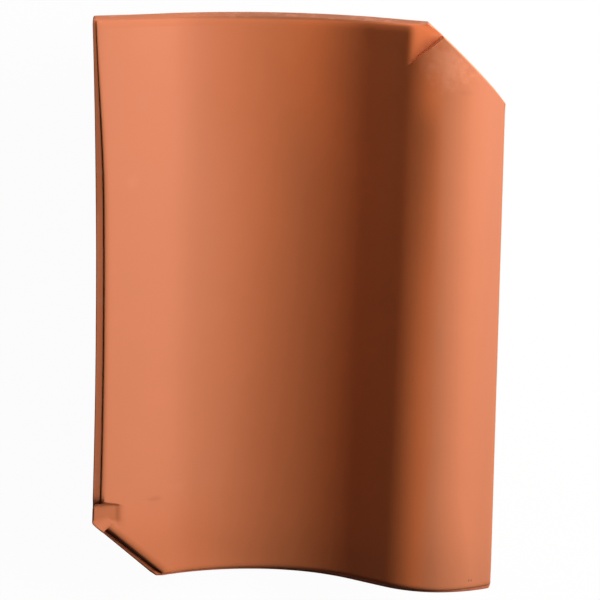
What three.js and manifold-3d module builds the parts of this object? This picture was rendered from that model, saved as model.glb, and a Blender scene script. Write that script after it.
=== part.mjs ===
// Clay roof tile of the single-lap S-profile kind: a shallow pan that runs up into a
// round roll, with two mitred corners, a nib under the head and a low ledge round the
// edge. It is one fired piece, so it is one solid.
//
// Millimetres. X runs across the tile from the pan to the roll, Y runs up the slope from
// the foot to the head, Z points up. The tile is shaped as a flat clay bat and then bent
// over the profile, as the real one is.
import * as THREE from 'three';
import { mergeVertices } from 'three/addons/utils/BufferGeometryUtils.js';
import Module from 'manifold-3d';

// Overall size of the fired tile.
const TILE_LENGTH = 342;
const TILE_WIDTH = 241;
const THICKNESS = 13;

// Profile of the upper face, from the lowest line of the pan to both sides.
const PAN_LOW_X = -19.6;
const PAN_RIGHT_RADIUS = 101.5;
const FLANK_SLOPE = THREE.MathUtils.degToRad(34.6);
const FLANK_LENGTH = 26.1;
const ROLL_RADIUS = 53.5;
const PAN_LEFT_RADIUS = 111;
const SIDE_SLOPE = THREE.MathUtils.degToRad(29.2);
const SIDE_LIP_RADIUS = 310;

// The roll narrows towards the head: its flank and crest swing over by this much from
// foot to head, while the tile's right edge stays straight.
const ROLL_TAPER = 6.6;

// Edge: the face falls over a rounded shoulder to a low ledge, wider on some sides than
// on others, and small arrises ease the edges below it.
const LEDGE_WIDTHS = { foot: 1.6, rollSide: 1.4, head: 2.8, panSide: 3.8, footMitre: 1.6 };
const LEDGE_DEPTH = 2;
const SHOULDER_WIDTH = 2.6;
const SHOULDER_DROP = 1.6;
const LOWER_ARRIS = 1.2;
const SIDE_BOW = 2.5;

// Mitred corners: across the tile, then along it. The one at the head is cut straight
// down through the bent tile and bows out a little. The one at the foot is part of the
// flat bat's outline.
const HEAD_MITRE_ACROSS = 46;
const HEAD_MITRE_ALONG = 46.4;
const HEAD_MITRE_BOW = 2.1;
const FOOT_MITRE_ACROSS = 43.7;
const FOOT_MITRE_ALONG = 37.8;

// Pressed seats that take the corners of the neighbouring tiles. The floor of each starts
// on the face, at this distance down the flank from the roll's crest or in from the pan
// side's edge. The head seat's floor is level and its wall runs across the tile at an
// angle; the foot seat's floor rises outwards.
const HEAD_SEAT_BELOW_CREST = 28.9;
const HEAD_SEAT_SETBACK = 23.4;
const HEAD_SEAT_WALL_TURN = THREE.MathUtils.degToRad(41.5);
const FOOT_SEAT_WIDTH = 18;
const FOOT_SEAT_ABOVE_MITRE = 10.6;
const FOOT_SEAT_LENGTH = 9.5;
const FOOT_SEAT_FLOOR_SLOPE = THREE.MathUtils.degToRad(13);
const FOOT_SEAT_RAMP_SLOPE = THREE.MathUtils.degToRad(45);
const SEAT_WALL_DRAFT = THREE.MathUtils.degToRad(8);

// Nib that hooks over the batten, under the head.
const NIB_WIDTH = 50;
const NIB_THICKNESS = 18;
const NIB_DEPTH = 14;
const NIB_SETBACK = 24;
const NIB_DRAFT = 2.5;

// Fineness of the bent surface: turn and distance between two stations across the
// profile, and rows along the tile, where only the bow needs them.
const STATION_TURN = THREE.MathUtils.degToRad(4.5);
const STATION_SPAN = 14;
const BOW_ROWS = 6;
const MITRE_BOW_STEPS = 6;
const SHOULDER_STEPS = 3;
const ARRIS_STEPS = 1;

const HEAD_Y = TILE_LENGTH / 2;
const FOOT_Y = -HEAD_Y;
const RIGHT_X = TILE_WIDTH / 2;
const LEFT_X = -RIGHT_X;

const wasm = await Module();
wasm.setup();

// Each side of the profile is a chain of bends that starts level at the pan's lowest line.
const rollSide = [
  { length: PAN_RIGHT_RADIUS * FLANK_SLOPE, curvature: 1 / PAN_RIGHT_RADIUS },
  { length: FLANK_LENGTH, curvature: 0 },
  { length: Infinity, curvature: -1 / ROLL_RADIUS },
];
const panSide = [
  { length: PAN_LEFT_RADIUS * SIDE_SLOPE, curvature: 1 / PAN_LEFT_RADIUS },
  { length: Infinity, curvature: -1 / SIDE_LIP_RADIUS },
];

// Walks a chain of bends: distance along the face to place, height and slope.
function walk(bends, distance) {
  const at = { run: 0, height: 0, slope: 0 };
  let left = distance;
  for (const { length, curvature } of bends) {
    const step = Math.min(left, length);
    const slope = at.slope + curvature * step;
    if (curvature === 0) {
      at.run += step * Math.cos(slope);
      at.height += step * Math.sin(slope);
    } else {
      at.run += (Math.sin(slope) - Math.sin(at.slope)) / curvature;
      at.height += (Math.cos(at.slope) - Math.cos(slope)) / curvature;
    }
    at.slope = slope;
    left -= step;
    if (left <= 0) break;
  }
  return at;
}

// Length of the chain before its last bend, and where the centre of that bend lies.
function lastBend(bends) {
  const before = bends.slice(0, -1).reduce((sum, bend) => sum + bend.length, 0);
  const start = walk(bends, before);
  const radius = -1 / bends.at(-1).curvature;
  return { before, radius, slope: start.slope, centre: start.run + radius * Math.sin(start.slope) };
}

// The roll side ends where the arris of its ledge reaches the full width. The pan side's
// edge leans outwards: its ledge reaches the full width and is trimmed upright below that.
function rollSideLength() {
  const { before, radius, slope, centre } = lastBend(rollSide);
  const widest = radius - LEDGE_DEPTH - LOWER_ARRIS;
  const dip = Math.asin((RIGHT_X - PAN_LOW_X - centre) / widest);
  return before + radius * (slope + dip);
}
function panSideLength() {
  const { before, radius, slope, centre } = lastBend(panSide);
  const widest = radius - LEDGE_DEPTH;
  const rise = Math.asin((centre - (PAN_LOW_X - LEFT_X)) / widest);
  return before + radius * (slope - rise);
}
const FLAT_RIGHT = rollSideLength();
const FLAT_LEFT = -panSideLength();
const { before: FLAT_ROLL_START } = lastBend(rollSide);
const FLAT_CREST = FLAT_ROLL_START + ROLL_RADIUS * FLANK_SLOPE;

// Bends one point of the flat bat: across, and up from the upper face.
function bend(across, up) {
  const side = across < 0 ? -1 : 1;
  const at = walk(side < 0 ? panSide : rollSide, Math.abs(across));
  return {
    x: PAN_LOW_X + side * (at.run - up * Math.sin(at.slope)),
    z: at.height + up * Math.cos(at.slope),
  };
}

// Outline of the flat bat in plan, each side drawn in by its own inset. The corner that
// the head mitre takes off is still there.
function batOutline(insets) {
  const left = FLAT_LEFT + insets.panSide;
  const right = FLAT_RIGHT - insets.rollSide;
  const head = HEAD_Y - insets.head;
  const foot = FOOT_Y + insets.foot;
  const reach = Math.hypot(FOOT_MITRE_ACROSS, FOOT_MITRE_ALONG);
  const scale = 1 + (insets.footMitre * reach) / (FOOT_MITRE_ACROSS * FOOT_MITRE_ALONG);
  const mitreX = FLAT_LEFT + FOOT_MITRE_ACROSS * (scale - insets.foot / FOOT_MITRE_ALONG);
  const mitreY = FOOT_Y + FOOT_MITRE_ALONG * (scale - insets.panSide / FOOT_MITRE_ACROSS);
  return new THREE.Shape()
    .moveTo(mitreX, foot)
    .lineTo(right, foot)
    .lineTo(right, head)
    .lineTo(left, head)
    .lineTo(left, mitreY);
}

// A sheet of the bat between two depths, with its edges rounded inside the outline.
function batSheet({ insets, top, bottom, roundWidth, roundDrop, steps }) {
  const sheet = new THREE.ExtrudeGeometry(batOutline(insets), {
    depth: top - bottom - 2 * roundDrop,
    bevelThickness: roundDrop,
    bevelSize: roundWidth,
    bevelOffset: -roundWidth,
    bevelSegments: steps,
  });
  return sheet.translate(0, 0, bottom + roundDrop);
}

function toSolid(geometry) {
  const bare = geometry.clone();
  bare.deleteAttribute('normal');
  bare.deleteAttribute('uv');
  const merged = mergeVertices(bare, 1e-3);
  return new wasm.Manifold(new wasm.Mesh({
    numProp: 3,
    vertProperties: merged.attributes.position.array,
    triVerts: new Uint32Array(merged.index.array),
  }));
}

function toGeometry(solid) {
  const mesh = solid.getMesh();
  const geometry = new THREE.BufferGeometry();
  geometry.setAttribute('position', new THREE.BufferAttribute(mesh.vertProperties, 3));
  geometry.setIndex(new THREE.BufferAttribute(mesh.triVerts, 1));
  return geometry;
}

// The flat bat: a full lower sheet, and an upper sheet drawn in by the ledge.
function flatBat() {
  const lower = batSheet({
    insets: { foot: 0, rollSide: 0, head: 0, panSide: 0, footMitre: 0 },
    top: -LEDGE_DEPTH,
    bottom: -THICKNESS,
    roundWidth: LOWER_ARRIS,
    roundDrop: LOWER_ARRIS,
    steps: ARRIS_STEPS,
  });
  const upper = batSheet({
    insets: LEDGE_WIDTHS,
    top: 0,
    bottom: -LEDGE_DEPTH - SHOULDER_DROP - LOWER_ARRIS,
    roundWidth: SHOULDER_WIDTH,
    roundDrop: SHOULDER_DROP,
    steps: SHOULDER_STEPS,
  });
  return toGeometry(toSolid(lower).add(toSolid(upper)));
}

// The pan side bows inwards between its two corners, and the rest of the pan eases after it.
const BOW_MIDDLE = FOOT_MITRE_ALONG / 2;
const BOW_REACH = HEAD_Y - BOW_MIDDLE;
function bowed(across, y) {
  if (across > 0) return across;
  const along = (y - BOW_MIDDLE) / BOW_REACH;
  return across + SIDE_BOW * (1 - along * along) * (across / FLAT_LEFT);
}

// How far the taper moves a point across: nothing at the pan's lowest line, all of it from
// the start of the roll to its crest, and nothing again at the right edge.
function taperShift(across, y) {
  const gained = THREE.MathUtils.smoothstep(across, 0, FLAT_ROLL_START);
  const lost = THREE.MathUtils.smoothstep(across, FLAT_CREST, FLAT_RIGHT);
  return (ROLL_TAPER * (gained - lost) * y) / TILE_LENGTH;
}

// Distances along one side of the profile at which the flat bat is cut so that it bends.
function stations(bends, total) {
  const found = [];
  let start = 0;
  for (const { length, curvature } of bends) {
    const end = Math.min(start + length, total);
    const turn = Math.abs(curvature) * (end - start);
    const steps = Math.ceil(Math.max(turn / STATION_TURN, (end - start) / STATION_SPAN));
    for (let i = 1; i <= steps; i++) found.push(start + ((end - start) * i) / steps);
    start = end;
  }
  return found.slice(0, -1);
}

// Cuts a flat polygon in two where it crosses a plane square to the axis.
function cutPolygon(polygon, axis, place) {
  const lower = [];
  const upper = [];
  polygon.forEach((point, i) => {
    const next = polygon[(i + 1) % polygon.length];
    const here = point[axis] - place;
    const there = next[axis] - place;
    if (here <= 0) lower.push(point);
    if (here >= 0) upper.push(point);
    if (here * there < 0) {
      const crossing = point.clone().lerp(next, here / (here - there));
      crossing[axis] = place;
      lower.push(crossing);
      upper.push(crossing);
    }
  });
  const spread = (part) => part.some((point) => Math.abs(point[axis] - place) > 1e-6);
  return [lower, upper].filter((part) => part.length > 2 && spread(part));
}

// Cuts every triangle at the given places, then splits the pieces back into triangles.
function sliced(geometry, cuts) {
  const source = geometry.toNonIndexed().attributes.position;
  let polygons = [];
  for (let i = 0; i < source.count; i += 3) {
    polygons.push([0, 1, 2].map((k) => new THREE.Vector3().fromBufferAttribute(source, i + k)));
  }
  for (const { axis, place } of cuts) {
    polygons = polygons.flatMap((polygon) => cutPolygon(polygon, axis, place));
  }
  const corners = polygons.flatMap((polygon) =>
    polygon.slice(2).flatMap((last, i) => [polygon[0], polygon[i + 1], last]));
  return new THREE.BufferGeometry().setFromPoints(corners);
}

const STATIONS = [
  ...stations(panSide, -FLAT_LEFT).map((place) => -place),
  0,
  ...stations(rollSide, FLAT_RIGHT),
].map((place) => ({ axis: 'x', place }));
const ROWS = Array.from({ length: BOW_ROWS - 1 }, (_, i) => (
  { axis: 'y', place: BOW_MIDDLE + BOW_REACH * ((2 * (i + 1)) / BOW_ROWS - 1) }));

// Cuts a flat piece at the stations and rows, and bends it over the profile.
function bentOver(flatPiece) {
  const piece = sliced(flatPiece, [...STATIONS, ...ROWS]);
  const points = piece.attributes.position;
  for (let i = 0; i < points.count; i++) {
    const y = points.getY(i);
    const across = bowed(points.getX(i), y);
    const { x, z } = bend(across, points.getZ(i));
    points.setXYZ(i, x + taperShift(across, y), y, z);
  }
  return toSolid(piece);
}

// Cutter that trims the pan side upright, along the same bow as its ledge.
function panSideCutter() {
  const outerX = LEFT_X - THICKNESS;
  const startY = FOOT_Y + FOOT_MITRE_ALONG;
  const bow = bend(FLAT_LEFT + SIDE_BOW, -LEDGE_DEPTH).x - LEFT_X;
  const plan = new THREE.Shape()
    .moveTo(outerX, FOOT_Y)
    .lineTo(LEFT_X, FOOT_Y)
    .lineTo(LEFT_X, startY)
    .quadraticCurveTo(LEFT_X + 2 * bow, BOW_MIDDLE, LEFT_X, HEAD_Y)
    .lineTo(LEFT_X, HEAD_Y + THICKNESS)
    .lineTo(outerX, HEAD_Y + THICKNESS);
  const cutter = new THREE.ExtrudeGeometry(plan, {
    depth: bend(FLAT_LEFT, 0).z + 2 * THICKNESS,
    bevelEnabled: false,
    curveSegments: BOW_ROWS,
  });
  return cutter.translate(0, 0, -THICKNESS);
}

// Cutter for the head mitre: the corner beyond a slightly bowed line, from top to bottom.
function headMitreCutter() {
  const startX = RIGHT_X - HEAD_MITRE_ACROSS;
  const endY = HEAD_Y - HEAD_MITRE_ALONG;
  const bowX = (startX + RIGHT_X) / 2 + 2 * HEAD_MITRE_BOW;
  const bowY = (HEAD_Y + endY) / 2;
  const plan = new THREE.Shape()
    .moveTo(startX, HEAD_Y)
    .quadraticCurveTo(bowX, bowY, RIGHT_X, endY)
    .lineTo(RIGHT_X + THICKNESS, endY)
    .lineTo(RIGHT_X + THICKNESS, HEAD_Y + THICKNESS)
    .lineTo(startX, HEAD_Y + THICKNESS);
  const cutter = new THREE.ExtrudeGeometry(plan, {
    depth: bend(FLAT_CREST, 0).z + 2 * THICKNESS,
    bevelEnabled: false,
    curveSegments: MITRE_BOW_STEPS,
  });
  return cutter.translate(0, 0, -THICKNESS);
}

// Cutter for the seat at the head: a level floor, and a steep wall that leans back.
function headSeatCutter() {
  const across = FLAT_CREST - HEAD_SEAT_BELOW_CREST;
  const y = HEAD_Y - HEAD_SEAT_SETBACK;
  const { x, z } = bend(across, 0);
  const height = ROLL_RADIUS;
  const lean = height * Math.tan(SEAT_WALL_DRAFT);
  const reach = HEAD_MITRE_ACROSS + HEAD_MITRE_ALONG;
  const section = new THREE.Shape()
    .moveTo(0, 0)
    .lineTo(reach, 0)
    .lineTo(reach, height)
    .lineTo(-lean, height);
  const cutter = new THREE.ExtrudeGeometry(section, { depth: reach, bevelEnabled: false });
  cutter.translate(0, 0, -reach / 2);
  cutter.rotateX(Math.PI / 2);
  cutter.rotateZ(Math.PI / 2 + HEAD_SEAT_WALL_TURN);
  return cutter.translate(x + taperShift(across, y), y, z);
}

// Cutter for the seat at the foot: a floor that rises outwards, a steep wall on the head
// side and a ramp on the foot side.
function footSeatCutter() {
  const start = bend(FLAT_LEFT + FOOT_SEAT_WIDTH, 0);
  const height = THICKNESS;
  const section = new THREE.Shape()
    .moveTo(0, 0)
    .lineTo(FOOT_SEAT_LENGTH, 0)
    .lineTo(FOOT_SEAT_LENGTH + height / Math.tan(FOOT_SEAT_RAMP_SLOPE), height)
    .lineTo(-height * Math.tan(SEAT_WALL_DRAFT), height);
  const reach = FOOT_SEAT_WIDTH + THICKNESS;
  const cutter = new THREE.ExtrudeGeometry(section, { depth: reach, bevelEnabled: false });
  cutter.rotateX(Math.PI / 2);
  cutter.rotateZ(-Math.PI / 2);
  cutter.rotateY(FOOT_SEAT_FLOOR_SLOPE);
  const top = FOOT_Y + FOOT_MITRE_ALONG + FOOT_SEAT_ABOVE_MITRE;
  return cutter.translate(start.x, top, start.z);
}

const NIB_BEARING_Y = HEAD_Y - NIB_SETBACK;
const NIB_BOTTOM = -THICKNESS - NIB_DEPTH;

// Everything above the middle of the clay over the pan, which trims the nib's root.
function airOverPan() {
  const air = new THREE.BoxGeometry(FLAT_RIGHT - FLAT_LEFT, TILE_LENGTH, 2 * THICKNESS);
  air.translate((FLAT_RIGHT + FLAT_LEFT) / 2, 0, THICKNESS / 2);
  return bentOver(air);
}

// The nib: a square face towards the foot that bears on the batten, and a drafted back.
function nib() {
  const nibTop = bend(NIB_WIDTH, 0).z;
  const side = new THREE.Shape()
    .moveTo(NIB_BEARING_Y, NIB_BOTTOM)
    .lineTo(NIB_BEARING_Y + NIB_THICKNESS - NIB_DRAFT, NIB_BOTTOM)
    .lineTo(NIB_BEARING_Y + NIB_THICKNESS, -THICKNESS)
    .lineTo(NIB_BEARING_Y + NIB_THICKNESS, nibTop)
    .lineTo(NIB_BEARING_Y, nibTop);
  const block = new THREE.ExtrudeGeometry(side, { depth: NIB_WIDTH, bevelEnabled: false });
  block.translate(0, 0, -NIB_WIDTH / 2);
  block.rotateY(Math.PI / 2);
  block.rotateX(Math.PI / 2);
  return toSolid(block).subtract(airOverPan());
}

const pantile = bentOver(flatBat())
  .subtract(toSolid(panSideCutter()))
  .subtract(toSolid(headMitreCutter()))
  .subtract(toSolid(headSeatCutter()))
  .subtract(toSolid(footSeatCutter()))
  .add(nib());

// Lying on a floor the tile rests on its nib and on the underside of its foot.
const restSpan = NIB_BEARING_Y - (FOOT_Y + LOWER_ARRIS);
const REST_PITCH = Math.atan2(NIB_DEPTH, restSpan);
const REST_LIFT = -NIB_BEARING_Y * Math.sin(REST_PITCH) - NIB_BOTTOM * Math.cos(REST_PITCH);

const firedClay = new THREE.MeshStandardMaterial({ color: 0xc8744f, roughness: 0.86, metalness: 0 });
const tile = new THREE.Mesh(toGeometry(pantile), firedClay);
tile.name = 'pantile';
tile.rotation.x = REST_PITCH;
tile.position.z = REST_LIFT;

// The origin is on the floor under the middle of the tile as it lies.
const group = new THREE.Group();
group.add(tile);
const middle = new THREE.Box3().setFromObject(group, true).getCenter(new THREE.Vector3());
tile.position.x = -middle.x;
tile.position.y = -middle.y;

export default group;
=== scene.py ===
import math
from collections import namedtuple

import bmesh
import bpy
from mathutils import Matrix, Vector


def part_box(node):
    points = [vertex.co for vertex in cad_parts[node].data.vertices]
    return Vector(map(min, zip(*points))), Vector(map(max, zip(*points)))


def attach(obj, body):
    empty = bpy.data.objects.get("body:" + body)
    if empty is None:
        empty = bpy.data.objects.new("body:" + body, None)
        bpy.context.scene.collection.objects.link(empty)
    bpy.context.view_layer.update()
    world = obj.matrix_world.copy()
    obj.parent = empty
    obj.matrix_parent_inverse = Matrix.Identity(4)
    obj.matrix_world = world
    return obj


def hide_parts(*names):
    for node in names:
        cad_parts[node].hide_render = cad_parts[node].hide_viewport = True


# A clay pantile: a flat bat of clay with a stepped, rounded edge, bent over an S profile,
# with two seats pressed into its mitred corners and a nib under its head.
# Metres. X runs across the tile from the pan to the roll, Y from the foot to the head.

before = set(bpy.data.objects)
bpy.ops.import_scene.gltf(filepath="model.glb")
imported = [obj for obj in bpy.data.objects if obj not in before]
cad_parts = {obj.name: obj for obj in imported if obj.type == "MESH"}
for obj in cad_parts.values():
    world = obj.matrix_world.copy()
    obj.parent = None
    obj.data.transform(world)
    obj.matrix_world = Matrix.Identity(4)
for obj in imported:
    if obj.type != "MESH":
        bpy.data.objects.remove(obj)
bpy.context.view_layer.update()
TILE_NODE = "pantile"


# ---------------------------------------------------------------- sizes of the tile

TILE_LENGTH = 0.342
TILE_WIDTH = 0.241
THICKNESS = 0.013

PAN_LOW_X = -0.0196
PAN_RIGHT_RADIUS = 0.1015
FLANK_SLOPE = math.radians(34.6)
FLANK_LENGTH = 0.0261
ROLL_RADIUS = 0.0535
PAN_LEFT_RADIUS = 0.111
SIDE_SLOPE = math.radians(29.2)
SIDE_LIP_RADIUS = 0.310
ROLL_TAPER = 0.0066

# The sides of the outline, anticlockwise from the foot, and the section of the edge on each:
# the face falls over a rounded shoulder to a ledge that slopes out to an arris. The mitre at
# the head is a plain cut, and the corner below the foot seat only has a small round.
FOOT, ROLL_EDGE, HEAD_MITRE, HEAD, PAN_EDGE, FOOT_MITRE = range(6)
Edge = namedtuple("Edge", "shoulder drop ledge inner_depth outer_depth arris")
EDGES = (
    Edge(shoulder=0.0034, drop=0.0016, ledge=0.0016, inner_depth=0.0020, outer_depth=0.0020, arris=0.0012),
    Edge(shoulder=0.0022, drop=0.0016, ledge=0.0014, inner_depth=0.0020, outer_depth=0.0020, arris=0.0012),
    Edge(shoulder=0.0002, drop=0.0002, ledge=0.0, inner_depth=0.0010, outer_depth=0.0020, arris=0.0),
    Edge(shoulder=0.0046, drop=0.0011, ledge=0.0003, inner_depth=0.0012, outer_depth=0.0013, arris=0.0001),
    Edge(shoulder=0.0032, drop=0.0012, ledge=0.0050, inner_depth=0.0014, outer_depth=0.0031, arris=0.0008),
    Edge(shoulder=0.0048, drop=0.0028, ledge=0.0032, inner_depth=0.0036, outer_depth=0.0045, arris=0.0007),
)
PLAIN_EDGE = Edge(shoulder=0.0010, drop=0.0010, ledge=0.0, inner_depth=0.0013, outer_depth=0.0020, arris=0.0)
LEDGE_DEPTH = 0.0020
LOWER_ARRIS = 0.0012
SIDE_BOW = 0.0025

# Towards the roll side the foot's ledge grows wider by a length and deeper by a share.
FOOT_LEDGE_GAIN = 0.0013
FOOT_DEPTH_GAIN = 0.2
FOOT_GAIN_LENGTH = 0.035
FOOT_GAIN_FADE = (0.006, 0.016)
FOOT_GAIN_DEPTHS = (-0.010, -0.0035)

# Towards the head the pan side's ledge is drawn in to the edge by a share, and the head's end
# leans back by a length, fading out towards the mitre. The fades are distances from the edge
# or depths below the face, from none to full.
HEAD_PINCH = 0.58
HEAD_PINCH_LENGTH = 0.110
PINCH_ACROSS_FADE = (0.009, 0.030)
PINCH_UP_FADE = (0.009, 0.013)
LEDGE_DEPTHS = (-0.006, -0.003)
HEAD_LEAN = 0.0018
HEAD_LEAN_FADE = 0.016
HEAD_LEAN_START = 0.016
HEAD_LEAN_FULL = 0.004

HEAD_MITRE_ACROSS = 0.046
HEAD_MITRE_ALONG = 0.0464
HEAD_MITRE_BOW = 0.0021
FOOT_MITRE_ACROSS = 0.0437
FOOT_MITRE_ALONG = 0.0378

HEAD_SEAT_BELOW_CREST = 0.0289
HEAD_SEAT_SETBACK = 0.0234
HEAD_SEAT_WALL_TURN = math.radians(41.5)
FOOT_SEAT_WIDTH = 0.018
FOOT_SEAT_ABOVE_MITRE = 0.0106
FOOT_SEAT_LENGTH = 0.0095
FOOT_SEAT_SOFT_SIDE = 0.0034
FOOT_SEAT_FLOOR_SLOPE = math.radians(9)
FOOT_SEAT_RAMP_LENGTH = 0.0030
HEAD_SEAT_WALL_DRAFT = math.radians(3)
FOOT_SEAT_WALL_DRAFT = math.radians(42)
PLAIN_MITRE_LENGTH = 0.0050

NIB_WIDTH = 0.050
NIB_THICKNESS = 0.018
NIB_DEPTH = 0.014
NIB_SETBACK = 0.024
NIB_DRAFT = 0.0025
NIB_ROOT_FILLET = 0.003
NIB_EDGE_ROUND = 0.0018
NIB_CORNER_ROUND = 0.003

# The eased upright corners, and how far from a corner one side's depths ease over to the next's.
CORNER_ROUND = 0.0014
CORNER_BLEND = 0.004

HEAD_Y = TILE_LENGTH / 2
FOOT_Y = -HEAD_Y
RIGHT_X = TILE_WIDTH / 2
LEFT_X = -RIGHT_X


# ---------------------------------------------------------------- the profile

# Each side is a chain of bends (length, curvature) from the pan's lowest line outwards.
ROLL_SIDE = (
    (PAN_RIGHT_RADIUS * FLANK_SLOPE, 1 / PAN_RIGHT_RADIUS),
    (FLANK_LENGTH, 0),
    (math.inf, -1 / ROLL_RADIUS),
)
PAN_SIDE = (
    (PAN_LEFT_RADIUS * SIDE_SLOPE, 1 / PAN_LEFT_RADIUS),
    (math.inf, -1 / SIDE_LIP_RADIUS),
)


def walk(bends, distance):
    """Run, height and slope reached after a distance along a chain of bends."""
    run = height = slope = 0
    for length, curvature in bends:
        step = min(distance, length)
        turned = slope + curvature * step
        if curvature:
            run += (math.sin(turned) - math.sin(slope)) / curvature
            height += (math.cos(slope) - math.cos(turned)) / curvature
        else:
            run += step * math.cos(slope)
            height += step * math.sin(slope)
        slope = turned
        distance -= step
        if distance <= 0:
            break
    return run, height, slope


def last_bend(bends):
    """Length of the chain before its last bend, its slope there, and that bend's radius and centre."""
    before = sum(length for length, _ in bends[:-1])
    run, _, slope = walk(bends, before)
    radius = -1 / bends[-1][1]
    return before, slope, radius, run + radius * math.sin(slope)


def roll_side_length():
    """The roll side ends where the arris of its ledge reaches half the width."""
    before, slope, radius, centre = last_bend(ROLL_SIDE)
    dip = math.asin((RIGHT_X - PAN_LOW_X - centre) / (radius - LEDGE_DEPTH - LOWER_ARRIS))
    return before + radius * (slope + dip)


def pan_side_length():
    """The pan side ends where its ledge reaches half the width; it is trimmed upright below."""
    before, slope, radius, centre = last_bend(PAN_SIDE)
    rise = math.asin((centre - (PAN_LOW_X - LEFT_X)) / (radius - LEDGE_DEPTH))
    return before + radius * (slope - rise)


# Both sides are rubbed back a little from the nominal width.
ROLL_SIDE_WEAR = 0.00006
PAN_SIDE_WEAR = 0.0005
FLAT_RIGHT = roll_side_length() - ROLL_SIDE_WEAR
FLAT_LEFT = PAN_SIDE_WEAR - pan_side_length()
HEAD_CORNER = FLAT_RIGHT - HEAD_MITRE_ACROSS
FLAT_ROLL_START = last_bend(ROLL_SIDE)[0]
FLAT_CREST = FLAT_ROLL_START + ROLL_RADIUS * FLANK_SLOPE


def bend(across, up):
    """Where a point of the flat bat lands once it is bent: x and z."""
    side = -1 if across < 0 else 1
    run, height, slope = walk(PAN_SIDE if across < 0 else ROLL_SIDE, abs(across))
    return PAN_LOW_X + side * (run - up * math.sin(slope)), height + up * math.cos(slope)


def smoothstep(value, low, high):
    share = min(max((value - low) / (high - low), 0), 1)
    return share * share * (3 - 2 * share)


def taper_shift(across, y):
    """How far the roll's taper moves a point across: towards the right edge at the head."""
    gained = smoothstep(across, 0, FLAT_ROLL_START)
    lost = smoothstep(across, FLAT_CREST, FLAT_RIGHT)
    return ROLL_TAPER * (gained - lost) * y / TILE_LENGTH


BOW_MIDDLE = FOOT_MITRE_ALONG / 2


def bent(across, y, up):
    """Where a point of the flat bat lands, with the bow of the pan side and the roll's taper.

    The ledge of the pan side narrows and rises towards the head, that of the foot widens and
    sinks towards the roll side, and the end of the head leans back.
    """
    in_from_edge = across - FLAT_LEFT
    pinch = HEAD_PINCH * smoothstep(y, HEAD_Y - HEAD_PINCH_LENGTH, HEAD_Y) * smoothstep(up, *LEDGE_DEPTHS)
    across -= in_from_edge * pinch * (1 - smoothstep(in_from_edge, *PINCH_ACROSS_FADE))
    up *= 1 - pinch * (1 - smoothstep(in_from_edge, *PINCH_UP_FADE))
    in_from_foot = y - FOOT_Y
    gain = smoothstep(across, FLAT_RIGHT - FOOT_GAIN_LENGTH, FLAT_RIGHT)
    gain *= 1 - smoothstep(in_from_foot, *FOOT_GAIN_FADE)
    y += FOOT_LEDGE_GAIN * gain * min(in_from_foot / EDGES[FOOT].ledge, 1) * smoothstep(up, *LEDGE_DEPTHS)
    up *= 1 + FOOT_DEPTH_GAIN * gain * smoothstep(up, *FOOT_GAIN_DEPTHS)
    lean = HEAD_LEAN * (1 - smoothstep(across, HEAD_CORNER - HEAD_LEAN_FADE, HEAD_CORNER))
    lean *= max(1 + up / THICKNESS, 0)
    y -= lean * smoothstep(y, HEAD_Y - HEAD_LEAN_START, HEAD_Y - HEAD_LEAN_FULL)
    along = (y - BOW_MIDDLE) / (HEAD_Y - BOW_MIDDLE)
    across += SIDE_BOW * (1 - along * along) * max(0, across / FLAT_LEFT)
    x, z = bend(across, up)
    return x + taper_shift(across, y), y, z


# Rounds that settle where a bent point came from on the flat bat.
ACROSS_ROUNDS = 30
UNDERSIDE_ROUNDS = 4


def across_at(x, y, up):
    """How far across the flat bat the point is that lands on x once it is bent."""
    across = x - PAN_LOW_X
    for _ in range(ACROSS_ROUNDS):
        across += x - bend(across, up)[0] - taper_shift(across, y)
    return across


HEAD_SEAT_CORNER = Vector(bent(FLAT_CREST - HEAD_SEAT_BELOW_CREST, HEAD_Y - HEAD_SEAT_SETBACK, 0))
HEAD_SEAT_TOWARD = Vector((-math.sin(HEAD_SEAT_WALL_TURN), math.cos(HEAD_SEAT_WALL_TURN), 0))
FOOT_SEAT_X, FOOT_SEAT_Z = bend(FLAT_LEFT + FOOT_SEAT_WIDTH - FOOT_SEAT_SOFT_SIDE, 0)
FOOT_SEAT_WALL_Y = FOOT_Y + FOOT_MITRE_ALONG + FOOT_SEAT_ABOVE_MITRE
FOOT_SEAT_CORNER = Vector((FOOT_SEAT_X, FOOT_SEAT_WALL_Y, FOOT_SEAT_Z))

# The face is scored along the head seat's wall: how far from the seat's corner, and how far
# out on the floor from the wall's foot, or in behind it. The groove there has this width.
SCORE_REACH = 0.06
SCORE_OFFSETS = (
    0.0012, 0.0006, 0.0,
    -0.00005, -0.0001, -0.00015, -0.0002, -0.00025, -0.0003, -0.0004, -0.0005,
)
GROOVE_WIDTH = 0.0012


def underside_of_pan(x, y):
    """Height of the pan's underside at a place, and how far across the flat bat that is."""
    radius = PAN_LEFT_RADIUS if x < PAN_LOW_X else PAN_RIGHT_RADIUS
    across = x - PAN_LOW_X
    for _ in range(UNDERSIDE_ROUNDS):
        turn = math.asin((x - taper_shift(across, y) - PAN_LOW_X) / (radius + THICKNESS))
        across = radius * turn
    return radius - (radius + THICKNESS) * math.cos(turn), across


# ---------------------------------------------------------------- the flat bat

# Spacing of the mesh on the open face, near an edge, and where the seats are pressed.
OPEN_CELL = 0.0026
EDGE_CELL = 0.0006
SEAT_CELL = 0.0008
SQUEEZE_LEFT = -0.030
SQUEEZE_RIGHT = 0.046

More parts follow.
